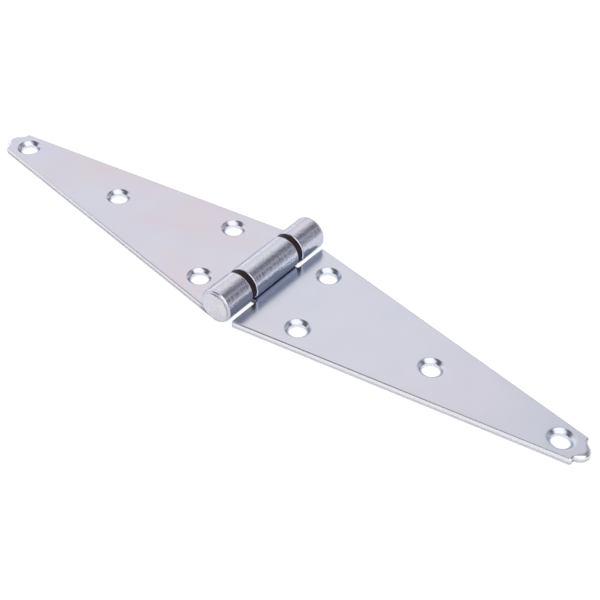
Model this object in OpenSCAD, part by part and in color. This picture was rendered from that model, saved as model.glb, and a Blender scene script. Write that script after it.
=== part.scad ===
// Heavy strap hinge: two tapered steel leaves on one riveted pin.
// Millimetres, +Z up. The hinge lies open and flat on z = 0.
// The origin is under the middle of the barrel. The pin runs along Y.
// The swing leaf points to +X and the fixed leaf to -X.

/* [Leaves] */
// Length of each leaf, from the pin's axis to the end of its nose
leaf_len = 152; // [140:1:170]
// Width of the leaves where they meet the barrel
leaf_w = 60; // [57:0.5:64]
// Thickness of the sheet steel
sheet_t = 3; // [2.6:0.1:3.2]
// Distance from the pin's axis to the edge that faces the other leaf's knuckles
edge_x = 7.2; // [7:0.1:8]
// Width across the two shoulders at the tip
tip_w = 14; // [13:0.5:17]
// How far the nose stands out past the shoulders
nose_out = 4; // [3.5:0.1:4.2]
// Radius of the rounded nose
nose_r = 4.4; // [4.3:0.1:4.8]
// Radius of the hollow between the nose and each shoulder
hollow_r = 1.4; // [1:0.1:1.5]

/* [Barrel] */
// Diameter of the pin's shank
pin_d = 8.7; // [8.2:0.1:9]
// Play between the pin and a knuckle's bore, on the radius
pin_play = 0.05; // [0.03:0.01:0.08]
// Length of the swing leaf's centre knuckle
centre_len = 27; // [24:0.5:29]
// Length of each of the fixed leaf's two outer knuckles
outer_len = 14.8; // [13:0.1:16]
// Gap left between the rolled end of a knuckle and its own leaf
seam_gap = 0.4; // [0.3:0.05:0.6]
// Diameter of the pin's riveted heads
head_d = 12.8; // [11.5:0.1:13.4]
// Height of a riveted head above the knuckle's end
head_h = 1.4; // [1:0.1:1.8]
// Height of the straight rim of a riveted head
head_rim = 0.6; // [0.4:0.1:0.8]

/* [Washers] */
// Outside diameter of the washers between the knuckles
washer_d = 14; // [13:0.1:14.4]
// Thickness of a washer
washer_t = 2.4; // [2:0.1:2.8]
// Play between a washer's hole and the pin, on the radius
washer_play = 0.1; // [0.06:0.02:0.1]
// Free gap on each side of a washer
washer_gap = 0.2; // [0.15:0.05:0.35]

/* [Screw holes] */
// Diameter of the holes
hole_d = 7.5; // [6.5:0.1:8]
// Diameter of the countersinks at the top face
sink_d = 10.6; // [9:0.1:10.8]
// Depth of the countersinks
sink_depth = 1.5; // [1:0.1:2]
// Distance of the first hole from the pin's axis
first_x = 20.3; // [19:0.1:22]
// Distance of the first hole from the leaf's centre line
first_y = 17.3; // [15:0.1:18]
// Distance of the second hole from the pin's axis
second_x = 30; // [28:0.5:32]
// Distance of the second hole from the leaf's centre line
second_y = 15.9; // [14:0.1:17]
// Distance of the middle hole from the pin's axis
middle_x = 83; // [78:0.5:88]
// Distance of the tip hole back from the end of the nose
tip_back = 12; // [11:0.5:15]

/* [Hidden] */
$fn = 96;
slip = 0.5;
bore_r = pin_d / 2 + pin_play;
barrel_r = bore_r + sheet_t;
shoulder_x = leaf_len - nose_out;
nose_x = leaf_len - nose_r;
tip_x = leaf_len - tip_back;
taper = (leaf_w - tip_w) / 2 / (shoulder_x - edge_x);
root_w = leaf_w + 2 * taper * edge_x;
slot_half = centre_len / 2 + washer_t + 2 * washer_gap;
barrel_half = slot_half + outer_len;
bite = 0.02;
hollow_x = shoulder_x + hollow_r;
hollow_y = sqrt(pow(nose_r + hollow_r - bite, 2) - pow(hollow_x - nose_x, 2));
seam_angle = -asin((bore_r - seam_gap) / barrel_r);
sink_slope = (sink_d - hole_d) / sink_depth;
dome_h = head_h - head_rim;
dome_r = (pow(head_d / 2, 2) + pow(dome_h, 2)) / (2 * dome_h);

// Turns what points along Z to point along the pin, at the pin's height.
module on_axis() {
    translate([0, 0, barrel_r])
        rotate([90, 0, 0])
            children();
}

// The hollow that leads from one shoulder into the nose. It bites a hair into the nose's circle.
module nose_flank() {
    difference() {
        polygon([
            [nose_x, 0],
            [hollow_x, hollow_y],
            [nose_x, hollow_y],
        ]);
        translate([hollow_x, hollow_y])
            circle(hollow_r);
    }
}

// Plan of a leaf that points to +X, tapered from the pin's axis to the tip.
module leaf_plan() {
    polygon([
        [0, -root_w / 2],
        [shoulder_x, -tip_w / 2],
        [shoulder_x, tip_w / 2],
        [0, root_w / 2],
    ]);
    translate([nose_x, 0])
        circle(nose_r);
    nose_flank();
    mirror([0, 1])
        nose_flank();
}

// One countersunk hole, cut down from the top face.
module screw_hole(x, y) {
    translate([x, y, -slip])
        cylinder(d = hole_d, h = sheet_t + 2 * slip);
    translate([x, y, sheet_t - sink_depth])
        cylinder(d1 = hole_d, d2 = sink_d + sink_slope * slip, h = sink_depth + slip);
}

// The four holes of one leaf: a staggered pair, one in the middle, one at the tip.
module screw_holes() {
    screw_hole(first_x, first_y);
    screw_hole(second_x, -second_y);
    screw_hole(middle_x, 0);
    screw_hole(tip_x, 0);
}

// Section of a knuckle: from under the pin, round it, and back nearly to its own leaf.
module knuckle_section() {
    difference() {
        circle(barrel_r);
        circle(bore_r);
        polygon([
            [0, 0],
            [0, -2 * barrel_r],
            [2 * barrel_r, -2 * barrel_r],
            [2 * barrel_r, 2 * barrel_r * tan(seam_angle)],
        ]);
    }
}

// A knuckle that takes the width from y = from to y = to.
module knuckle(from, to) {
    translate([0, (from + to) / 2, 0])
        on_axis()
            linear_extrude(to - from, center = true)
                knuckle_section();
}

// Plan of a slot beside the barrel, from y = from to y = to.
module slot(from, to) {
    translate([-slip, from])
        square([edge_x + slip, to - from]);
}

// A flat leaf that points to +X, less the slots given as children.
module flat_leaf() {
    difference() {
        linear_extrude(sheet_t)
            difference() {
                leaf_plan();
                children();
            }
        screw_holes();
    }
}

// The leaf with the centre knuckle, which turns on the pin.
module swing_leaf() {
    color("lightsteelblue") {
        flat_leaf() {
            slot(centre_len / 2, root_w);
            slot(-root_w, -centre_len / 2);
        }
        knuckle(-centre_len / 2, centre_len / 2);
    }
}

// The leaf with the two outer knuckles, which the pin is riveted to.
module fixed_leaf() {
    color("silver")
        rotate([0, 0, 180]) {
            flat_leaf() {
                slot(-slot_half, slot_half);
                slot(barrel_half, root_w);
                slot(-root_w, -barrel_half);
            }
            knuckle(slot_half, barrel_half);
            knuckle(-barrel_half, -slot_half);
        }
}

// A riveted head: a short rim and a shallow dome.
module rivet_head() {
    cylinder(d = head_d, h = head_rim);
    intersection() {
        translate([0, 0, head_h - dome_r])
            sphere(dome_r);
        translate([0, 0, head_rim])
            cylinder(d = head_d, h = dome_h + slip);
    }
}

// The pin, headed over at both ends.
module hinge_pin() {
    color("gainsboro")
        on_axis() {
            cylinder(d = pin_d, h = 2 * barrel_half, center = true);
            translate([0, 0, barrel_half])
                rivet_head();
            rotate([180, 0, 0])
                translate([0, 0, barrel_half])
                    rivet_head();
        }
}

// A washer on the pin, centred at y = place.
module washer(place) {
    color("#3b3130")
        translate([0, place, 0])
            on_axis()
                difference() {
                    cylinder(d = washer_d, h = washer_t, center = true);
                    cylinder(d = pin_d + 2 * washer_play, h = washer_t + 2 * slip, center = true);
                }
}

module front_washer() {
    washer(-(centre_len + washer_t) / 2 - washer_gap);
}

module back_washer() {
    washer((centre_len + washer_t) / 2 + washer_gap);
}

fixed_leaf();
swing_leaf();
hinge_pin();
front_washer();
back_washer();
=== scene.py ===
"""Strap hinge: the finished look of the five CAD parts, on a plain pale floor."""

import math

import bmesh
import bpy
from mathutils import Matrix, Vector, noise
from mathutils.geometry import delaunay_2d_cdt


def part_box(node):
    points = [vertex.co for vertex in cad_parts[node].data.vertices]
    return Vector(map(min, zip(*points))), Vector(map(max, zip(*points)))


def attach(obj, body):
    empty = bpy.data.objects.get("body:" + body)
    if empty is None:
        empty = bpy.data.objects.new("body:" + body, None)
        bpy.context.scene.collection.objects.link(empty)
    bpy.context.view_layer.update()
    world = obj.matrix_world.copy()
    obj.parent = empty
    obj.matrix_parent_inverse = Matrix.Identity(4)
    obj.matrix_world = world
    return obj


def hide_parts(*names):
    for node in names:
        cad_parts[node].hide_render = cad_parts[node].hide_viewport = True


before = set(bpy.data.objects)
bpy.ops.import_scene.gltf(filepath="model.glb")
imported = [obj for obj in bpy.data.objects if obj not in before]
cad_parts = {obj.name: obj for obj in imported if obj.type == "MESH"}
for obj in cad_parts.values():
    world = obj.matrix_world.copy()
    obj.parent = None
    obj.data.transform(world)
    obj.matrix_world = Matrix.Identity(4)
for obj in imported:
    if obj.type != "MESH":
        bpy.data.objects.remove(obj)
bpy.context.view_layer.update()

# ---------------------------------------------------------------- dimensions, in millimetres
MM = 0.001


def node_box(node):
    """Lowest and highest corners of a CAD node, in millimetres."""
    low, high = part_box(node)
    return low / MM, high / MM


pin_low, pin_high = node_box("hinge_pin")
_, swing_high = node_box("swing_leaf")
_, fixed_high = node_box("fixed_leaf")
washer_low, washer_high = node_box("front_washer")

AXIS_Z = (pin_low.z + pin_high.z) / 2
HEAD_R = (pin_high.x - pin_low.x) / 2
HEAD_Y = pin_high.y
BARREL_R = AXIS_Z
BARREL_HALF = fixed_high.y
LEAF_LEN = swing_high.x
LEAF_HALF = swing_high.y
WASHER_R = (washer_high.x - washer_low.x) / 2
WASHER_Y = (-washer_high.y, -washer_low.y)

# The sheet. Its outline widens from the strips of the knuckles to the leaf at EDGE_X. The swing leaf's one
# strip is CENTRE_HALF wide each way, and the fixed leaf's two lie beyond SLOT_HALF.
SHEET_T = 3.0
EDGE_X = 7.2
CENTRE_HALF = 13.5
SLOT_HALF = 16.3
CORNER_R = 1.0
SLOT_CORNER_R = 0.6

# The roll of a knuckle: it starts at the bottom of the barrel and ends SEAM_GAP above the sheet. Its section
# changes from the sheet's to the knuckle's own over BLEND_ANGLE.
SEAM_GAP = 0.4
BORE_R = BARREL_R - SHEET_T
SEAM_ANGLE = -math.asin((BORE_R - SEAM_GAP) / BARREL_R)
ROLL_START = -math.pi / 2
BLEND_ANGLE = math.radians(50)

# The tip: two shoulders, a small hollow inside each, and a round nose between them.
TIP_HALF = 7.0
NOSE_R = 4.4
NOSE_OUT = 4.0
HOLLOW_R = 1.4
HOLLOW_BITE = 0.02
SHOULDER_X = LEAF_LEN - NOSE_OUT
NOSE_X = LEAF_LEN - NOSE_R
TAPER = (LEAF_HALF - TIP_HALF) / (SHOULDER_X - EDGE_X)

# The countersunk holes, as (x, y) on a leaf that points to +X.
HOLE_R = 3.75
SINK_R = 5.3
SINK_DEPTH = 1.5
HOLES = ((20.3, 17.3), (30.0, -15.9), (83.0, 0.0), (LEAF_LEN - 12.0, 0.0))

# The shank and the washers have a little play.
PIN_R = BORE_R - 0.05
WASHER_BORE_R = PIN_R + 0.1

# Edges: the punch rolls the top edge over and leaves a broken lower part on the sides. A row of points
# SUPPORT away from each rounding keeps the flat faces flat.
ROLL_R = 0.75
BURR_R = 0.18
SUPPORT = 0.15
BREAK_Z = 1.0
BREAK_IN = 0.06
BREAK_LIP = 0.05
BREAK_NOTCH = 0.06
NOTCH_HEIGHT = 0.2
BURR_HEIGHT = 0.4
ROLL_STEPS = 6
BURR_STEPS = 4

# Rows of points down an edge: the first on its upright side, and those polished by the punch.
SIDE_ROW = ROLL_STEPS + 1
BURNISHED_ROWS = range(3, SIDE_ROW + 2)

# The nose is rolled over further than the straight sides, over this stretch of the tip.
NOSE_ROLL = 0.7
NOSE_SPREAD = 1.7
NOSE_START = 0.3
NOSE_BLEND = 1.8

# The sides of a knuckle's strip get painted shade and are not burnished, up to this far past the barrel's
# edge.
STRIP_BLEND = 1.2
STRIP_SHADE = 0.55

# The ends of the knuckles, and the lip at the end of the roll.
RIM_R = 0.45
RIM_INNER_R = 0.22
RIM_LEVELS = (2.2, 1.9, 1.6)
END_RIM_R = 1.0
LIP_R = 0.15

# Down a hole: the mouth as (beyond SINK_R, below the top), the cone by its depths, the neck as
# (beyond HOLE_R, below the cone), and the foot as (beyond HOLE_R, above the underside). The hole's bare
# wall lies within WALL_REACH of HOLE_R.
MOUTH = ((0.9, 0.0), (0.3, 0.006), (0.12, 0.03), (0.0, 0.1))
CONE_DROPS = (0.32, 0.7, 1.1, 1.42)
NECK = ((0.03, 0.02), (0.0, 0.12))
WALL_REACH = 0.1
FOOT = ((0.0, 1.0), (0.03, 0.85), (0.03, 0.22), (0.08, 0.07), (0.2, 0.0), (0.5, 0.0))

# How finely outlines, knuckles, flat faces, holes and turned pieces are divided, and how far the grid of
# points in the flat faces keeps from holes and edges.
ARC_STEP = math.radians(9)
EDGE_STEP = 2.5
ACROSS_STEP = 2.0
ROLL_STEP = math.radians(3)
GRID_STEP = 4.0
HOLE_CLEARANCE = 1.2
EDGE_CLEARANCE = 1.4
HOLE_SEGMENTS = 72
TURNED_SEGMENTS = 96

# Lengths too small to count, and the settings of the triangulation.
TINY = 1e-6
SLIVER = 0.02
INSIDE_ONLY = 1
CDT_EPSILON = 1e-7

# The sheet bows up by a few hundredths of a millimetre, away from the barrel.
BOW_HEIGHT = 0.05
BOW_START = 14.0
BOW_FADE = 25.0
BOW_SCALE_X = 0.022
BOW_SCALE_Y = 0.035

# The passivate's colour fades out towards the tips.
TIP_X = 108.0
TIP_FADE = 28.0
TIP_CLEAR = 0.85

# A pin head is a low dome on an upright rim. Its shoulder is given as (inside HEAD_R, above the rim).
HEAD_RIM = 0.6
DOME_RADII = (1.0, 2.0, 3.0, 4.0, 4.8, 5.4)
HEAD_SHOULDER = ((0.6, 0.16), (0.3, 0.06), (0.08, -0.06), (0.0, -0.16))
HEAD_SEAT_RISE = 0.2
HEAD_SEAT_IN = 0.12
SHANK_FILLET = 0.3
SHANK_ROWS = (20.0, 10.0)

# The washers' broken edges, and the slight lumps on the pin and the washers.
WASHER_EDGE = 0.22
WASHER_EDGE_BEND = WASHER_EDGE * 0.3
WASHER_BORE_EDGE = 0.15
LUMP_SCALE = 0.35
PIN_WOBBLE = 0.02
WASHER_WOBBLE = 0.06


# ---------------------------------------------------------------- small helpers
def smooth(t):
    """A soft step from 0 to 1 as t goes from 0 to 1."""
    t = min(max(t, 0.0), 1.0)
    return t * t * (3 - 2 * t)


def arc_points(cx, cy, r, start, end):
    """Points on an arc, both ends included. It turns the way that start and end say."""
    steps = max(2, math.ceil(abs(end - start) / ARC_STEP))
    angles = [start + (end - start) * i / steps for i in range(steps + 1)]
    return [(cx + r * math.cos(a), cy + r * math.sin(a)) for a in angles]


def rounded(path):
    """A path of (x, y, radius) with its corners rounded and its straight runs divided."""
    bends = [[path[0][:2]]]
    for before, here, after in zip(path, path[1:], path[2:]):
        p, r = Vector(here[:2]), here[2]
        if r <= 0:
            bends.append([(p.x, p.y)])
            continue
        a = (Vector(before[:2]) - p).normalized()
        b = (Vector(after[:2]) - p).normalized()
        half = a.angle(b) / 2
        centre = p + (a + b).normalized() * (r / math.sin(half))
        first = p + a * (r / math.tan(half))
        last = p + b * (r / math.tan(half))
        start = math.atan2(first.y - centre.y, first.x - centre.x)
        turn = math.atan2(last.y - centre.y, last.x - centre.x) - start
        turn = (turn + math.pi) % (2 * math.pi) - math.pi
        bends.append(arc_points(centre.x, centre.y, r, start, start + turn))
    bends.append([path[-1][:2]])
    return divided([p for bend in bends for p in bend])


def divided(points):
    """The same points, with long straight runs cut into pieces."""
    out = [points[0]]
    for (x0, y0), (x1, y1) in zip(points, points[1:]):
        length = math.hypot(x1 - x0, y1 - y0)
        if length < TINY:
            continue
        steps = max(1, math.ceil(length / EDGE_STEP))
        out += [(x0 + (x1 - x0) * i / steps, y0 + (y1 - y0) * i / steps) for i in range(1, steps + 1)]
    return out


def between(a, b, count):
    """The points that divide the line from a to b into count parts."""
    return [(a[0] + (b[0] - a[0]) * i / count, a[1] + (b[1] - a[1]) * i / count) for i in range(1, count)]


def offset(points, insets):
    """An open path moved to its left by one inset per point, with mitred corners."""
    out = []
    for i, ((x, y), inset) in enumerate(zip(points, insets)):
        normals = []
        for j in (i - 1, i):
            if 0 <= j < len(points) - 1:
                dx, dy = points[j + 1][0] - points[j][0], points[j + 1][1] - points[j][1]
                length = math.hypot(dx, dy)
                normals.append((-dy / length, dx / length))
        nx, ny = sum(n[0] for n in normals) / len(normals), sum(n[1] for n in normals) / len(normals)
        scale = inset / (nx * nx + ny * ny)
        out.append((x + nx * scale, y + ny * scale))
    return out


def inside(point, polygon):
    """Whether a point lies in a polygon."""
    x, y = point
    found = False
    for (x0, y0), (x1, y1) in zip(polygon, polygon[1:] + polygon[:1]):
        if (y0 > y) != (y1 > y) and x < x0 + (y - y0) * (x1 - x0) / (y1 - y0):
            found = not found
    return found


def edge_distance(point, polygon):
    """Distance from a point to a polygon's nearest corner or edge."""
    p = Vector(point)
    best = math.inf
    for start, end in zip(polygon, polygon[1:] + polygon[:1]):
        a = Vector(start)
        side = Vector(end) - a
        t = min(max((p - a).dot(side) / side.length_squared, 0), 1)
        best = min(best, (a + side * t - p).length)
    return best


# ---------------------------------------------------------------- sections and outlines
def quarter(radius, count):
    """(inset, drop) round a quarter circle, from the flat face to the side."""
    angles = [i * math.pi / 2 / count for i in range(count + 1)]
    return [(radius * (1 - math.sin(a)), radius * (1 - math.cos(a))) for a in angles]


def edge_top(radius):
    """(inset, z) from the top face, round an edge of this radius, to the upright side."""
    turn = [(inset, SHEET_T - drop) for inset, drop in quarter(radius, ROLL_STEPS)]
    return [(radius + SUPPORT, SHEET_T)] + turn


def edge_foot(radius, inset_by):
    """(inset, z) from the upright side, round a lower edge of this radius, to the underside."""
    turn = [(inset_by + inset, drop) for inset, drop in reversed(quarter(radius, BURR_STEPS))]
    return turn + [(inset_by + radius + SUPPORT, 0.0)]


def sheet_profile():
    """(inset, z) down the edge of the flat sheet, from the top face to the underside."""
    side = [
        (0.0, BREAK_Z + BREAK_LIP),
        (BREAK_IN + BREAK_NOTCH, BREAK_Z - BREAK_NOTCH),
        (BREAK_IN, BREAK_Z - NOTCH_HEIGHT),
        (BREAK_IN, BURR_R + BURR_HEIGHT),
    ]
    return edge_top(ROLL_R) + side + edge_foot(BURR_R, BREAK_IN)


def rim_profile(radius):
    """The same points round the end of a knuckle, whose outer edge is rounder."""
    side = [(0.0, z) for z in (*RIM_LEVELS, radius + SUPPORT)]
    return edge_top(RIM_INNER_R) + side + edge_foot(radius, 0.0)


def hole_profile():
    """(radius, z) down a countersunk hole, from the flat top face to the underside."""
    slope = (SINK_R - HOLE_R) / SINK_DEPTH
    mouth = [(SINK_R + beyond, SHEET_T - drop) for beyond, drop in MOUTH]
    cone = [(HOLE_R + slope * (SINK_DEPTH - drop), SHEET_T - drop) for drop in CONE_DROPS]
    neck = [(HOLE_R + beyond, SHEET_T - SINK_DEPTH - drop) for beyond, drop in NECK]
    foot = [(HOLE_R + beyond, z) for beyond, z in FOOT]
    return mouth + cone + neck + foot


def tip_path():
    """The leaf's outline round the tip, from one shoulder to the other."""
    hx = SHOULDER_X + HOLLOW_R
    hy = math.sqrt((NOSE_R + HOLLOW_R - HOLLOW_BITE) ** 2 - (hx - NOSE_X) ** 2)
    meet = math.atan2(hy, hx - NOSE_X)
    lower = arc_points(hx, -hy, HOLLOW_R, math.pi, math.pi - meet)
    nose = arc_points(NOSE_X, 0, NOSE_R, -meet, meet)
    upper = arc_points(hx, hy, HOLLOW_R, math.pi + meet, math.pi)
    return lower + nose[1:-1] + upper


def outer_chain(half, corner):
    """The open outline of a leaf that points to +X, from the barrel round the tip and back.

    half is half the width of the strip at the barrel. With corner, the leaf is wider than its strip.
    """
    if corner:
        start = [(EDGE_X, -half, SLOT_CORNER_R), (EDGE_X, -LEAF_HALF, CORNER_R)]
    else:
        start = [((LEAF_HALF + TAPER * EDGE_X - half) / TAPER, -half, 0)]
    tip = tip_path()
    first = rounded([(0, -half, 0), *start, (SHOULDER_X, -TIP_HALF, CORNER_R), (*tip[0], 0)])
    last = [(x, -y) for x, y in reversed(first)]
    return first + divided(tip)[1:-1] + last


def slot_chain():
    """The outline of the slot between the fixed leaf's two outer knuckles."""
    corners = [(EDGE_X, SLOT_HALF, SLOT_CORNER_R), (EDGE_X, -SLOT_HALF, SLOT_CORNER_R)]
    return rounded([(0, SLOT_HALF, 0), *corners, (0, -SLOT_HALF, 0)])


# ---------------------------------------------------------------- meshes
class Mesh:
    """Vertices in millimetres, faces, and three marks per vertex: torn, painted shade (inside a knuckle and
    on its strip's sides), and burnished.
    """

    def __init__(self):
        self.points, self.faces, self.torn, self.inner, self.burnish = [], [], [], [], []

    def add(self, x, y, z, torn=0.0, inner=0.0, burnish=0.0):
        """A new vertex, and its number."""
        self.points.append((x, y, z))
        self.torn.append(torn)
        self.inner.append(inner)
        self.burnish.append(burnish)
        return len(self.points) - 1

    def strip(self, a, b, closed=False):
        """Quads between two rows of the same length."""
        count = len(a)
        for i in range(count if closed else count - 1):
            j = (i + 1) % count
            self.faces.append((a[i], a[j], b[j], b[i]))

    def object(self, name, turn=0.0, tint=0.0):
        """The finished object, in metres. tint says how strongly the passivate colours its plating."""
        bm = bmesh.new()
        matrix = Matrix.Rotation(turn, 3, "Z")
        verts = [bm.verts.new(matrix @ Vector(p) * MM) for p in self.points]
        for face in self.faces:
            bm.faces.new([verts[i] for i in face])
        bmesh.ops.recalc_face_normals(bm, faces=bm.faces)
        mesh = bpy.data.meshes.new(name)
        bm.to_mesh(mesh)
        bm.free()
        tints = [tint * (1 - TIP_CLEAR * smooth((x - TIP_X) / TIP_FADE)) for x, _, _ in self.points]
        marks = (("torn", self.torn), ("inner", self.inner), ("burnish", self.burnish), ("tint", tints))
        for key, values in marks:
            mesh.attributes.new(key, "FLOAT", "POINT").data.foreach_set("value", values)
        mesh.polygons.foreach_set("use_smooth", [True] * len(mesh.polygons))
        obj = bpy.data.objects.new(name, mesh)
        bpy.context.scene.collection.objects.link(obj)
        return obj


class Sheet(Mesh):
    """A mesh of a leaf, whose top and underside bow up together."""

    def __init__(self, seed):
        super().__init__()
        self.seed = seed

    def bowed(self, x, y, z, torn=0.0, inner=0.0, burnish=0.0):
        """A new vertex lifted with the sheet, and its number."""
        away = smooth((x - BOW_START) / BOW_FADE)
        wave = noise.noise(Vector((x * BOW_SCALE_X + self.seed, y * BOW_SCALE_Y, self.seed)))
        return self.add(x, y, z + away * BOW_HEIGHT * (1 + wave), torn, inner, burnish)


def fill(mesh, outer, holes, interior):
    """Triangles over a flat face with holes. Each loop is a list of vertex numbers."""
    ids = [i for loop in [outer, *holes] for i in loop] + interior
    coords = [Vector(mesh.points[i][:2]) for i in ids]
    edges, at = [], 0
    for loop in [outer, *holes]:
        edges += [(at + i, at + (i + 1) % len(loop)) for i in range(len(loop))]
        at += len(loop)
    verts, _, faces, origins, _, _ = delaunay_2d_cdt(coords, edges, [], INSIDE_ONLY, CDT_EPSILON)
    hole_lines = [[mesh.points[i][:2] for i in loop] for loop in holes]
    triangles = []
    for face in faces:
        middle = sum((Vector(verts[i]) for i in face), Vector((0, 0))) / len(face)
        if not any(inside(middle, line) for line in hole_lines):
            triangles.append([ids[origins[i][0]] for i in face])
    mesh.faces += [tuple(t) for t in without_slivers(mesh, triangles)]


def without_slivers(mesh, triangles):
    """The same triangles, with the long edge of each sliver turned to the other diagonal."""

    def corner_order(t):
        """The triangle as (a, b, c), with a to c as its longest edge, and its height over that edge."""
        p = [Vector(mesh.points[i][:2]) for i in t]
        k = max(range(3), key=lambda i: (p[i] - p[i - 1]).length)
        area = abs((p[1] - p[0]).cross(p[2] - p[0]))
        return t[k - 1], t[(k + 1) % 3], t[k], area / (p[k] - p[k - 1]).length

    thin = {n for n, t in enumerate(triangles) if corner_order(t)[3] < SLIVER}
    found = True
    while found:
        found = False
        for n in sorted(thin):
            a, b, c, _ = corner_order(triangles[n])
            m = next((m for m, t in enumerate(triangles) if m != n and a in t and c in t), None)
            if m is None or m in thin:
                continue
            d = next(i for i in triangles[m] if i not in (a, c))
            triangles[n], triangles[m] = [a, b, d], [b, c, d]
            thin.discard(n)
            found = True
    return triangles


# ---------------------------------------------------------------- the leaves
def edge_rows(mesh, chain):
    """Rows of vertices down a chain's edge. Row k is the outline moved in by the profile's inset k."""
    nose = [smooth((x - SHOULDER_X - NOSE_START) / NOSE_BLEND) for x, _ in chain]
    away = [smooth((x - EDGE_X) / STRIP_BLEND) for x, _ in chain]
    rows = []
    for k, (inset, z) in enumerate(sheet_profile()):
        rolled = k <= SIDE_ROW
        torn = 1.0 if 0 < z <= BREAK_Z else 0.0
        burnish = 1.0 if k in BURNISHED_ROWS else 0.0
        # painted shade: the upright side and underside rows of the strip near the barrel get the inner mark
        shade = STRIP_SHADE if k >= SIDE_ROW else 0.0
        path = offset(chain, [inset * (1 + NOSE_SPREAD * at) if rolled else inset for at in nose])
        levels = [SHEET_T - (SHEET_T - z) * (1 + NOSE_ROLL * at) if rolled else z for at in nose]
        row = []
        for (x, y), level, far in zip(path, levels, away):
            row.append(mesh.bowed(x, y, level, torn, shade * (1 - far), burnish * far))
        rows.append(row)
    for upper, lower in zip(rows, rows[1:]):
        mesh.strip(upper, lower)
    return rows


def strip_section(mesh, low_rows, high_rows):
    """The closed section of a strip at the barrel, as its ring of vertices, and its rows across the faces."""
    y_low = [mesh.points[row[0]][1] for row in low_rows]
    y_high = [mesh.points[row[-1]][1] for row in high_rows]
    count = round((y_high[0] - y_low[0]) / ACROSS_STEP)
    top = [mesh.add(0, y_low[0] + (y_high[0] - y_low[0]) * i / count, SHEET_T) for i in range(1, count)]
    low = [mesh.add(0, y_low[-1] + (y_high[-1] - y_low[-1]) * i / count, 0) for i in range(1, count)]
    ring = [row[0] for row in low_rows] + low
    ring += [row[-1] for row in reversed(high_rows)] + list(reversed(top))
    return {"ring": ring, "top": top, "low": low, "ends": (y_low[SIDE_ROW], y_high[SIDE_ROW]), "count": count}


def hole_rings(mesh, hx, hy):
    """Rings of vertices down a countersunk hole, from the top face to the underside."""
    rings = []
    angles = [2 * math.pi * i / HOLE_SEGMENTS for i in range(HOLE_SEGMENTS)]
    for r, z in hole_profile():
        wall = 1.0 if z < SHEET_T - SINK_DEPTH and r < HOLE_R + WALL_REACH else 0.0
        ring = [mesh.bowed(hx + r * math.cos(a), hy + r * math.sin(a), z, burnish=wall) for a in angles]
        rings.append(ring)
    for upper, lower in zip(rings, rings[1:]):
        mesh.strip(upper, lower, closed=True)
    return rings


def grid_points(line, keep_out):
    """Points of a staggered grid inside an outline, clear of its edge and of circles round the holes."""
    reach = int(LEAF_HALF / GRID_STEP)
    found = []
    for i in range(1, int(LEAF_LEN / GRID_STEP)):
        for j in range(-reach, reach + 1):
            p = (i * GRID_STEP, (j + 0.5 * (i % 2)) * GRID_STEP)
            clear = all(math.dist(p, h) > r + HOLE_CLEARANCE for h, r in zip(HOLES, keep_out))
            if clear and inside(p, line) and edge_distance(p, line) > EDGE_CLEARANCE:
                found.append(p)
    return found


def make_leaf(name, chains, strips, seed, turn, tint):
    """A leaf: the flat sheet from its chains of outline, and a knuckle on each strip.

    A strip is a pair of chain numbers: it lies between the start of the first and the end of the second.
    """
    mesh = Sheet(seed)
    edges = [edge_rows(mesh, chain) for chain in chains]
    sections = [strip_section(mesh, edges[first], edges[second]) for first, second in strips]
    holes = [hole_rings(mesh, hx, hy) for hx, hy in HOLES]
    strip_after = {second: n for n, (_, second) in enumerate(strips)}
    for level, face, z in ((0, "top", SHEET_T), (-1, "low", 0.0)):
        outer = []
        for i, rows in enumerate(edges):
            outer += rows[level] + list(reversed(sections[strip_after[i]][face]))
        line = [mesh.points[i][:2] for i in outer]
        loops = [rings[level] for rings in holes]
        keep_out = [math.dist(mesh.points[loop[0]][:2], h) for loop, h in zip(loops, HOLES)]
        fill(mesh, outer, loops, [mesh.bowed(x, y, z) for x, y in grid_points(line, keep_out)])
    for section in sections:
        add_knuckle(mesh, section)
    return mesh.object(name, turn, tint)


def drawn(z, draw):
    """A height in the sheet drawn in from both of its faces."""
    return draw + z * (SHEET_T - 2 * draw) / SHEET_T


def side_profile(rim, blend, draw):
    """The sheet's edge profile blended towards a knuckle's rim, drawn in all round."""
    pairs = zip(sheet_profile(), rim)
    mixed = [[(1 - blend) * a[i] + blend * b[i] for i in range(2)] for a, b in pairs]
    return [(inset + draw, drawn(z, draw)) for inset, z in mixed]


def add_knuckle(mesh, section):
    """A knuckle: the strip's section swept round the pin's axis.

    Each turn is (angle, how far the section is drawn in). The last one breaks the edges of the roll's lip.
    """
    sweep = 2 * math.pi + ROLL_START - SEAM_ANGLE
    steps = math.ceil(sweep / ROLL_STEP)
    turns = [(sweep * s / steps, 0.0) for s in range(1, steps)]
    turns += [(sweep - LIP_R / BARREL_R, 0.0), (sweep, LIP_R)]
    low_end, high_end = section["ends"]
    count = section["count"]
    low_rim, high_rim = (
        rim_profile(END_RIM_R if math.isclose(abs(y), BARREL_HALF, abs_tol=SUPPORT) else RIM_R)
        for y in section["ends"]
    )
    last = section["ring"]
    for turned_by, draw in turns:
        blend = smooth(turned_by / BLEND_ANGLE)
        angle = ROLL_START - turned_by
        low_side = [(low_end + inset, z) for inset, z in side_profile(low_rim, blend, draw)]
        high_side = [(high_end - inset, z) for inset, z in reversed(side_profile(high_rim, blend, draw))]
        low_row = between(low_side[-1], high_side[0], count)
        top_row = between(high_side[-1], low_side[0], count)
        ring = []
        for y, z in low_side + low_row + high_side + top_row:
            r = BARREL_R - z
            # painted shade: the inner half of the roll and the lip at its end are marked to be painted dark
            painted_shade = 1.0 if draw or z > SHEET_T / 2 else 0.0
            ring.append(mesh.add(r * math.cos(angle), y, AXIS_Z + r * math.sin(angle), inner=painted_shade))
        mesh.strip(last, ring, closed=True)
        last = ring
    cap_knuckle(mesh, last, len(low_side), count)


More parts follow.
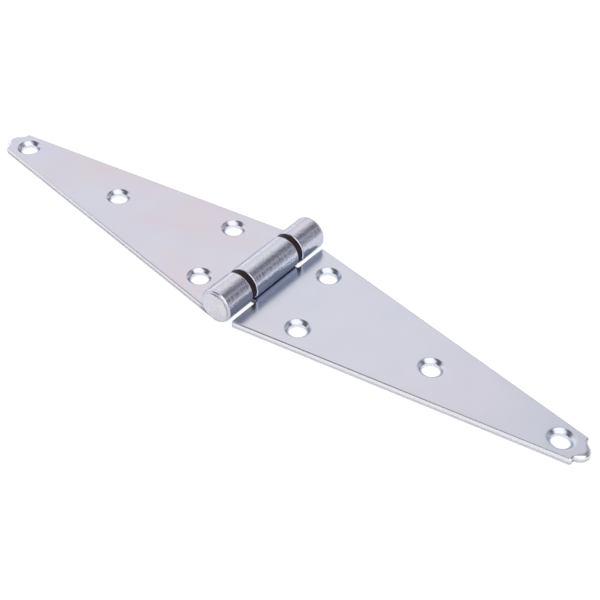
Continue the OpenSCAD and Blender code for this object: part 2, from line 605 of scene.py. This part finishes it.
def cap_knuckle(mesh, ring, side, count):
    """Closes the rolled end of a knuckle with rows from its outer face to its inner one."""
    low_side = ring[:side]
    low_row = ring[side:side + count - 1]
    high_side = ring[side + count - 1:2 * side + count - 1]
    top_row = ring[2 * side + count - 1:]
    mesh.faces += [tuple(low_side), tuple(reversed(high_side))]
    upper = [low_side[0]] + list(reversed(top_row)) + [high_side[-1]]
    lower = [low_side[-1]] + low_row + [high_side[0]]
    mesh.strip(upper, lower)


swing_chains = [outer_chain(CENTRE_HALF, True)]
fixed_chains = [outer_chain(BARREL_HALF, False), slot_chain()]
swing_leaf = make_leaf("swing_leaf_sheet", swing_chains, [(0, 0)], seed=3.7, turn=0.0, tint=0.25)
fixed_leaf = make_leaf("fixed_leaf_sheet", fixed_chains, [(1, 0), (0, 1)], seed=8.1, turn=math.pi, tint=1.0)


# ---------------------------------------------------------------- turned pieces: pin and washers
def turned(name, profile, wobble, seed, closed):
    """A piece turned about the pin's axis. The profile is (radius, y). wobble is in millimetres."""
    mesh = Mesh()
    rows = []
    for r, y in profile:
        if r < TINY:
            rows.append([mesh.add(0, y, AXIS_Z)])
            continue
        row = []
        for i in range(TURNED_SEGMENTS):
            a = 2 * math.pi * i / TURNED_SEGMENTS
            x, z = r * math.cos(a), r * math.sin(a)
            lump = noise.noise(Vector((x * LUMP_SCALE + seed, y * LUMP_SCALE, z * LUMP_SCALE)))
            reach = r + wobble * (lump - 0.5)
            row.append(mesh.add(reach * math.cos(a), y, AXIS_Z + reach * math.sin(a)))
        rows.append(row)
    pairs = list(zip(rows, rows[1:])) + ([(rows[-1], rows[0])] if closed else [])
    for a, b in pairs:
        if len(a) == 1:
            mesh.faces += [(a[0], b[(i + 1) % len(b)], b[i]) for i in range(len(b))]
        elif len(b) == 1:
            mesh.faces += [(b[0], a[i], a[(i + 1) % len(a)]) for i in range(len(a))]
        else:
            mesh.strip(a, b, closed=True)
    return mesh.object(name)


def head_profile():
    """(radius, y) from the middle of a head's dome to its seat on the knuckle."""
    rim_y = BARREL_HALF + HEAD_RIM
    dome = HEAD_Y - rim_y
    dome_r = (HEAD_R ** 2 + dome ** 2) / (2 * dome)
    points = [(0.0, HEAD_Y)]
    points += [(r, HEAD_Y - dome_r + math.sqrt(dome_r ** 2 - r ** 2)) for r in DOME_RADII]
    points += [(HEAD_R - within, rim_y + rise) for within, rise in HEAD_SHOULDER]
    return points + [(HEAD_R, BARREL_HALF + HEAD_SEAT_RISE), (HEAD_R - HEAD_SEAT_IN, BARREL_HALF)]


def pin_profile():
    """(radius, y) along the whole pin, from one head to the other."""
    fillet = [(PIN_R + SHANK_FILLET, BARREL_HALF), (PIN_R, BARREL_HALF - SHANK_FILLET)]
    half = head_profile() + fillet + [(PIN_R, y) for y in SHANK_ROWS]
    return half + [(r, -y) for r, y in reversed(half)]


def washer_profile(y0, y1):
    """A washer's section, with its edges broken."""
    outer = [
        (WASHER_R - WASHER_EDGE, y0),
        (WASHER_R - WASHER_EDGE_BEND, y0 + WASHER_EDGE_BEND),
        (WASHER_R, y0 + WASHER_EDGE),
    ]
    outer += [(WASHER_R, (y0 + y1) / 2)] + [(r, y0 + y1 - y) for r, y in reversed(outer)]
    bore = [(WASHER_BORE_R + WASHER_BORE_EDGE, y1), (WASHER_BORE_R, y1 - WASHER_BORE_EDGE)]
    return outer + bore + [(r, y0 + y1 - y) for r, y in reversed(bore)]


hinge_pin = turned("riveted_pin", pin_profile(), PIN_WOBBLE, seed=2.0, closed=False)
front_section = washer_profile(-WASHER_Y[1], -WASHER_Y[0])
back_section = washer_profile(WASHER_Y[0], WASHER_Y[1])
front_washer = turned("front_washer_ring", front_section, WASHER_WOBBLE, seed=5.0, closed=True)
back_washer = turned("back_washer_ring", back_section, WASHER_WOBBLE, seed=9.0, closed=True)


# ---------------------------------------------------------------- materials
# Plating, as (red, green, blue) of linear light: its clouds of passivate, where it is worn, and the painted
# shade inside the knuckles.
ZINC_COOL = (0.648, 0.735, 0.858)
ZINC_PINK = (0.672, 0.682, 0.776)
ZINC_STRAW = (0.684, 0.698, 0.760)
ZINC_BLUE = (0.628, 0.714, 0.846)
ZINC_BURNISHED = (0.87, 0.93, 0.975)
ZINC_TORN = (0.72, 0.74, 0.75)
ZINC_SCUFFED = (0.46, 0.52, 0.60)
# painted shade: near black, inside the knuckles and on the sides of their strips
ZINC_PAINTED_SHADE = (0.045, 0.042, 0.045)
ZINC_GLANCING = (0.80, 0.82, 0.86)
HEAD_GREY = (0.690, 0.742, 0.808)
HEAD_PALE = (0.775, 0.797, 0.832)
WASHER_DARK = (0.016, 0.009, 0.010)
WASHER_RUBBED = (0.034, 0.019, 0.019)
WASHER_SHINE = 0.22

# How much each mark on the sheet counts, and how it changes the roughness.
BLUE_SHARE = 0.6
SPECK_SHARE = 0.5
BARREL_POLISH = 0.08
BURNISH_POLISH = 0.09
TORN_DULLING = 0.15
HIDDEN_DULLING = 0.35

# How fine each mark is along X, Y and Z, and how far it is turned about Z.
STREAKS = (900, 900, 250)
SCUFFS = (1300, 1800, 1300)
ROLLING_MARKS = (400, 1150, 400)
SPECKS = (1800, 2300, 1800)
SCRATCHES = (60, 2200, 60)
TURNING_MARKS = (90, 2500, 90)
UNSTRETCHED = (1, 1, 1)
STRAW_TURN = 1.1
SCRATCH_TURN = 0.5

# Heights over which the sheet turns into the barrel.
BARREL_FROM = (SHEET_T + 0.3) * MM
BARREL_TO = (SHEET_T + 1.5) * MM

MIX_FACTOR, MIX_A, MIX_B = 0, 6, 7
MIX_RESULT = 2


class Nodes:
    """A short way to make and link shader nodes."""

    def __init__(self, tree):
        self.tree = tree

    def make(self, kind, **values):
        node = self.tree.nodes.new(kind)
        for key, value in values.items():
            setattr(node, key, value)
        return node

    def link(self, source, target):
        self.tree.links.new(source, target)

    def noise(self, vector, scale, detail, roughness=0.5, distortion=0.0):
        node = self.make("ShaderNodeTexNoise")
        self.link(vector, node.inputs["Vector"])
        node.inputs["Scale"].default_value = scale
        node.inputs["Detail"].default_value = detail
        node.inputs["Roughness"].default_value = roughness
        node.inputs["Distortion"].default_value = distortion
        return node.outputs["Fac"]

    def stretched(self, vector, scale, turn=0.0):
        """A vector scaled along each axis and turned about Z."""
        node = self.make("ShaderNodeMapping")
        self.link(vector, node.inputs["Vector"])
        node.inputs["Scale"].default_value = scale
        node.inputs["Rotation"].default_value = (0, 0, turn)
        return node.outputs["Vector"]

    def spread(self, value, source, target=(0.0, 1.0), soft=False):
        """A value moved from the source range to the target range, and held inside it."""
        node = self.make("ShaderNodeMapRange")
        if soft:
            node.interpolation_type = "SMOOTHSTEP"
        self.link(value, node.inputs["Value"])
        for key, number in zip(("From Min", "From Max", "To Min", "To Max"), (*source, *target)):
            node.inputs[key].default_value = number
        return node.outputs["Result"]

    def maths(self, operation, a, b):
        node = self.make("ShaderNodeMath", operation=operation)
        for socket, value in zip(node.inputs, (a, b)):
            if isinstance(value, (int, float)):
                socket.default_value = value
            else:
                self.link(value, socket)
        return node.outputs["Value"]

    def mix(self, factor, a, b):
        """A colour between a and b."""
        node = self.make("ShaderNodeMix", data_type="RGBA")
        for index, value in ((MIX_FACTOR, factor), (MIX_A, a), (MIX_B, b)):
            if isinstance(value, tuple):
                node.inputs[index].default_value = (*value, 1.0)
            else:
                self.link(value, node.inputs[index])
        return node.outputs[MIX_RESULT]

    def bump(self, height, strength, distance, normal=None):
        node = self.make("ShaderNodeBump")
        node.inputs["Strength"].default_value = strength
        node.inputs["Distance"].default_value = distance
        self.link(height, node.inputs["Height"])
        if normal is not None:
            self.link(normal, node.inputs["Normal"])
        return node.outputs["Normal"]


def new_material(name):
    """A material with one shader: the material, its nodes, the shader and the place on the object."""
    material = bpy.data.materials.new(name)
    material.use_nodes = True
    material.node_tree.nodes.clear()
    nodes = Nodes(material.node_tree)
    shader = nodes.make("ShaderNodeBsdfPrincipled")
    nodes.output = nodes.make("ShaderNodeOutputMaterial")
    nodes.link(shader.outputs["BSDF"], nodes.output.inputs["Surface"])
    place = nodes.make("ShaderNodeTexCoord").outputs["Object"]
    return material, nodes, shader, place


def zinc_sheet():
    """Bright zinc plating on rolled sheet: faint clouds of passivate, fine grain and handling marks, and
    painted shade inside the knuckles.
    """
    material, n, shader, place = new_material("zinc_sheet")
    shader.inputs["Metallic"].default_value = 1.0
    shader.inputs["Specular Tint"].default_value = (*ZINC_GLANCING, 1.0)
    torn, inner, burnish, tint = (
        n.make("ShaderNodeAttribute", attribute_name=key).outputs["Fac"]
        for key in ("torn", "inner", "burnish", "tint")
    )
    # colour: cool grey with clouds of passivate, pale where burnished or torn, and near-black painted shade
    # inside the knuckles
    pink = n.noise(place, scale=17, detail=3.0, roughness=0.55, distortion=0.5)
    pink = n.spread(pink, (0.30, 0.75), soft=True)
    turned_place = n.stretched(place, UNSTRETCHED, turn=STRAW_TURN)
    straw = n.noise(turned_place, scale=24, detail=3.0, roughness=0.55, distortion=0.8)
    straw = n.spread(straw, (0.42, 0.80), soft=True)
    blue = n.spread(n.noise(place, scale=12, detail=2.0), (0.22, 0.58), (1.0, 0.0), soft=True)
    streaks = n.noise(n.stretched(place, STREAKS), scale=1.0, detail=4.0, roughness=0.7)
    broken = n.maths("MULTIPLY", torn, n.spread(streaks, (0.35, 0.7), (0.3, 1.0)))
    colour = n.mix(n.maths("MULTIPLY", pink, tint), ZINC_COOL, ZINC_PINK)
    colour = n.mix(n.maths("MULTIPLY", straw, tint), colour, ZINC_STRAW)
    colour = n.mix(n.maths("MULTIPLY", blue, BLUE_SHARE), colour, ZINC_BLUE)
    colour = n.mix(burnish, colour, ZINC_BURNISHED)
    colour = n.mix(broken, colour, ZINC_TORN)
    height = n.make("ShaderNodeSeparateXYZ")
    n.link(place, height.inputs["Vector"])
    barrel = n.spread(height.outputs["Z"], (BARREL_FROM, BARREL_TO), soft=True)
    scuffs = n.noise(n.stretched(place, SCUFFS), scale=1.0, detail=3.0, roughness=0.7, distortion=0.4)
    scuffs = n.spread(scuffs, (0.50, 0.66), (0.0, 0.4))
    colour = n.mix(n.maths("MULTIPLY", barrel, scuffs), colour, ZINC_SCUFFED)
    # painted shade inside the knuckles and on the sides of their strips
    colour = n.mix(inner, colour, ZINC_PAINTED_SHADE)
    n.link(colour, shader.inputs["Base Color"])
    # roughness: smooth plating, duller in blotches, on the torn edge and inside the knuckles
    rough = n.spread(n.noise(place, scale=60, detail=4.0, roughness=0.6), (0.3, 0.7), (0.20, 0.26))
    rough = n.maths("SUBTRACT", rough, n.maths("MULTIPLY", barrel, BARREL_POLISH))
    rough = n.maths("SUBTRACT", rough, n.maths("MULTIPLY", burnish, BURNISH_POLISH))
    rough = n.maths("ADD", rough, n.maths("MULTIPLY", torn, TORN_DULLING))
    rough = n.maths("ADD", rough, n.maths("MULTIPLY", inner, HIDDEN_DULLING))
    n.link(rough, shader.inputs["Roughness"])
    # relief: fine grain of the plating, fine scratches, and rolling marks across the knuckles
    marks = n.noise(n.stretched(place, ROLLING_MARKS), scale=1.0, detail=1.5, distortion=0.3)
    pits = n.noise(place, scale=700, detail=2.0, roughness=0.6)
    specks = n.noise(n.stretched(place, SPECKS), scale=1.0, detail=1.0)
    marks = n.maths("ADD", marks, n.maths("MULTIPLY", specks, SPECK_SHARE))
    marks = n.maths("MULTIPLY", n.maths("ADD", marks, pits), barrel)
    grain = n.noise(place, scale=2600, detail=3.0, roughness=0.6)
    scratch = n.noise(n.stretched(place, SCRATCHES, turn=SCRATCH_TURN), scale=1.0, detail=3.0, roughness=0.7)
    scratch = n.maths("ADD", scratch, n.maths("MULTIPLY", torn, streaks))
    normal = n.bump(grain, strength=0.10, distance=0.00002)
    normal = n.bump(scratch, strength=0.15, distance=0.00003, normal=normal)
    normal = n.bump(marks, strength=0.9, distance=0.00010, normal=normal)
    n.link(normal, shader.inputs["Normal"])
    return material


def zinc_pin():
    """The same plating on the pin's pressed heads, a little whiter and duller."""
    material, n, shader, place = new_material("zinc_pin")
    shader.inputs["Metallic"].default_value = 1.0
    tone = n.spread(n.noise(place, scale=230, detail=2.0, distortion=0.5), (0.4, 0.7), soft=True)
    n.link(n.mix(tone, HEAD_GREY, HEAD_PALE), shader.inputs["Base Color"])
    rough = n.spread(n.noise(place, scale=300, detail=2.0), (0.3, 0.7), (0.22, 0.30))
    n.link(rough, shader.inputs["Roughness"])
    dents = n.noise(place, scale=300, detail=1.0)
    grain = n.noise(place, scale=2600, detail=3.0, roughness=0.6)
    normal = n.bump(dents, strength=0.25, distance=0.00006)
    normal = n.bump(grain, strength=0.03, distance=0.00002, normal=normal)
    n.link(normal, shader.inputs["Normal"])
    return material


def dark_washer():
    """Dull dark brown oxide on the washers, rubbed a little paler in blotches."""
    material, n, shader, place = new_material("dark_washer")
    shader.inputs["Specular IOR Level"].default_value = WASHER_SHINE
    tone = n.noise(place, scale=350, detail=5.0, roughness=0.65)
    rubbed = n.spread(tone, (0.35, 0.7), soft=True)
    n.link(n.mix(rubbed, WASHER_DARK, WASHER_RUBBED), shader.inputs["Base Color"])
    rough = n.spread(n.noise(place, scale=900, detail=3.0, roughness=0.6), (0.3, 0.7), (0.42, 0.62))
    n.link(rough, shader.inputs["Roughness"])
    turning = n.noise(n.stretched(place, TURNING_MARKS), scale=1.0, detail=3.0, roughness=0.6)
    normal = n.bump(tone, strength=0.4, distance=0.00005)
    normal = n.bump(turning, strength=0.35, distance=0.00004, normal=normal)
    n.link(normal, shader.inputs["Normal"])
    return material


SHEET, PIN, WASHER = zinc_sheet(), zinc_pin(), dark_washer()
PIECES = (
    (fixed_leaf, "fixed_side", "fixed_leaf", "zinc_sheet", SHEET),
    (swing_leaf, "swing_side", "swing_leaf", "zinc_sheet", SHEET),
    (hinge_pin, "fixed_side", "hinge_pin", "zinc_pin", PIN),
    (front_washer, "front_washer_side", "front_washer", "dark_washer", WASHER),
    (back_washer, "back_washer_side", "back_washer", "dark_washer", WASHER),
)
for piece, body, node, slot, material in PIECES:
    piece.data.materials.append(material)
    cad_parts[node].data.materials.clear()
    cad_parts[node].data.materials.append(material)
    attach(piece, body)
    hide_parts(node)


# ---------------------------------------------------------------- floor
FLOOR_REACH = 6.0
FLOOR_TONES = ((0.84, 0.85, 0.87), (0.87, 0.88, 0.90))
FLOOR_GLOW = (1.0, 0.98, 1.0)
FLOOR_GLOW_STRENGTH = 0.22
TABLE_TONE = (0.10, 0.10, 0.10)
TABLE_GLOW = (1.0, 1.0, 1.0)
TABLE_GLOW_STRENGTH = 0.94
FLOOR_ROUGHNESS = 0.9


def make_floor():
    """The floor is a light table: seen directly it glows, so the shadows on it stay faint."""
    mesh = bpy.data.meshes.new("floor")
    bm = bmesh.new()
    bmesh.ops.create_grid(bm, x_segments=1, y_segments=1, size=FLOOR_REACH)
    bm.to_mesh(mesh)
    bm.free()
    floor = bpy.data.objects.new("floor", mesh)
    bpy.context.scene.collection.objects.link(floor)
    material, n, shader, place = new_material("pale_floor")
    n.link(n.mix(n.noise(place, scale=3, detail=2.0), *FLOOR_TONES), shader.inputs["Base Color"])
    shader.inputs["Roughness"].default_value = FLOOR_ROUGHNESS
    shader.inputs["Emission Color"].default_value = (*FLOOR_GLOW, 1.0)
    shader.inputs["Emission Strength"].default_value = FLOOR_GLOW_STRENGTH
    table = n.make("ShaderNodeBsdfPrincipled")
    table.inputs["Base Color"].default_value = (*TABLE_TONE, 1.0)
    table.inputs["Roughness"].default_value = FLOOR_ROUGHNESS
    table.inputs["Emission Color"].default_value = (*TABLE_GLOW, 1.0)
    table.inputs["Emission Strength"].default_value = TABLE_GLOW_STRENGTH
    both = n.make("ShaderNodeMixShader")
    n.link(n.make("ShaderNodeLightPath").outputs["Is Camera Ray"], both.inputs["Fac"])
    n.link(shader.outputs["BSDF"], both.inputs[1])
    n.link(table.outputs["BSDF"], both.inputs[2])
    n.link(both.outputs["Shader"], n.output.inputs["Surface"])
    mesh.materials.append(material)


make_floor()


# ---------------------------------------------------------------- studio light
ROOM = (0.860, 0.775, 0.765)
BACKDROP = (1.0, 1.0, 1.0)
# Round patches on the room: (colour, azimuth from +Y towards +X, elevation, inner and outer radius), the
# angles in degrees. A later patch covers an earlier one.
PATCHES = (
    # the ceiling, and the main soft box high behind the camera
    ((0.600, 0.540, 0.535), 0, 90, 12, 42),
    ((2.000, 1.850, 1.850), 150, 62, 14, 36),
    # pale walls on the far left, which the flat leaves mirror, and lower down beside them
    ((1.045, 0.930, 0.905), -41, 41, 3, 25),
    ((1.150, 1.035, 1.005), -90, 12, 13, 22),
    ((1.260, 1.130, 1.100), -64, 4, 10, 24),
    # the dark gap low on the far left
    ((0.300, 0.270, 0.280), -28, 4, 12, 22),
    # the dim far right, which the barrel's right flank mirrors, with paler strips near the floor
    ((0.495, 0.450, 0.484), 42, 30, 35, 51.7),
    ((1.000, 0.920, 0.910), 0, 5, 5, 11),
    ((0.820, 0.750, 0.780), 50, -7, 8, 16),
    ((0.820, 0.750, 0.780), 22, 2, 8, 16),
    # the dark line along the barrel, and the dark right-hand spot in the countersinks
    ((0.220, 0.200, 0.218), 25, 49, 8, 16),
    ((0.120, 0.108, 0.122), 61, 30, 8, 15),
    # the soft box at the right, bright along the near edges and at the back of the countersinks
    ((1.470, 1.350, 1.330), 126, 50, 34, 40),
    # the dark left-hand spot in the countersinks, and the dark line above the near edges
    ((0.130, 0.120, 0.130), -141, 36, 17, 23),
    ((0.130, 0.123, 0.130), -150, 62, 15, 23),
)


def add_patch(n, way, room, colour, azimuth, elevation, inner, outer):
    """The room's colour with a soft round patch laid over it."""
    a, e = math.radians(azimuth), math.radians(elevation)
    toward = (math.sin(a) * math.cos(e), math.cos(a) * math.cos(e), math.sin(e))
    dot = n.make("ShaderNodeVectorMath", operation="DOT_PRODUCT")
    n.link(way, dot.inputs[0])
    dot.inputs[1].default_value = toward
    limits = (math.cos(math.radians(outer)), math.cos(math.radians(inner)))
    return n.mix(n.spread(dot.outputs["Value"], limits, soft=True), room, colour)


def make_studio():
    """A soft studio as a world: pale all round, with the darker sides of the room between the soft boxes."""
    world = bpy.data.worlds.new("studio")
    world.use_nodes = True
    world.node_tree.nodes.clear()
    n = Nodes(world.node_tree)
    way = n.make("ShaderNodeTexCoord").outputs["Generated"]
    light = ROOM
    for args in PATCHES:
        light = add_patch(n, way, light, *args)
    plain = n.make("ShaderNodeBackground")
    plain.inputs["Color"].default_value = (*BACKDROP, 1.0)
    room = n.make("ShaderNodeBackground")
    n.link(light, room.inputs["Color"])
    both = n.make("ShaderNodeMixShader")
    n.link(n.make("ShaderNodeLightPath").outputs["Is Camera Ray"], both.inputs["Fac"])
    n.link(room.outputs["Background"], both.inputs[1])
    n.link(plain.outputs["Background"], both.inputs[2])
    output = n.make("ShaderNodeOutputWorld")
    n.link(both.outputs["Shader"], output.inputs["Surface"])
    bpy.context.scene.world = world


make_studio()


# ---------------------------------------------------------------- camera
CAMERA_AZIMUTH = math.radians(36.17)
CAMERA_ELEVATION = math.radians(41.99)
CAMERA_ROLL = math.radians(2.72)
CAMERA_PLACE = Vector((246.73, -311.76, 348.17)) * MM
LENS = 76.31
SENSOR = 36.0
NEAREST, FARTHEST = 0.01, 50.0


def make_camera():
    """The camera, placed and turned by the angles above."""
    data = bpy.data.cameras.new("camera")
    data.lens = LENS
    data.sensor_width = SENSOR
    data.clip_start, data.clip_end = NEAREST, FARTHEST
    camera = bpy.data.objects.new("camera", data)
    bpy.context.scene.collection.objects.link(camera)
    ca, sa = math.cos(CAMERA_AZIMUTH), math.sin(CAMERA_AZIMUTH)
    ce, se = math.cos(CAMERA_ELEVATION), math.sin(CAMERA_ELEVATION)
    forward = Vector((-sa * ce, ca * ce, -se))
    level = Vector((ca, sa, 0))
    above = level.cross(forward)
    right = level * math.cos(CAMERA_ROLL) + above * math.sin(CAMERA_ROLL)
    up = right.cross(forward)
    matrix = Matrix((right, up, -forward)).transposed().to_4x4()
    matrix.translation = CAMERA_PLACE
    camera.matrix_world = matrix
    bpy.context.scene.camera = camera


make_camera()
bpy.context.scene.view_settings.view_transform = "Standard"
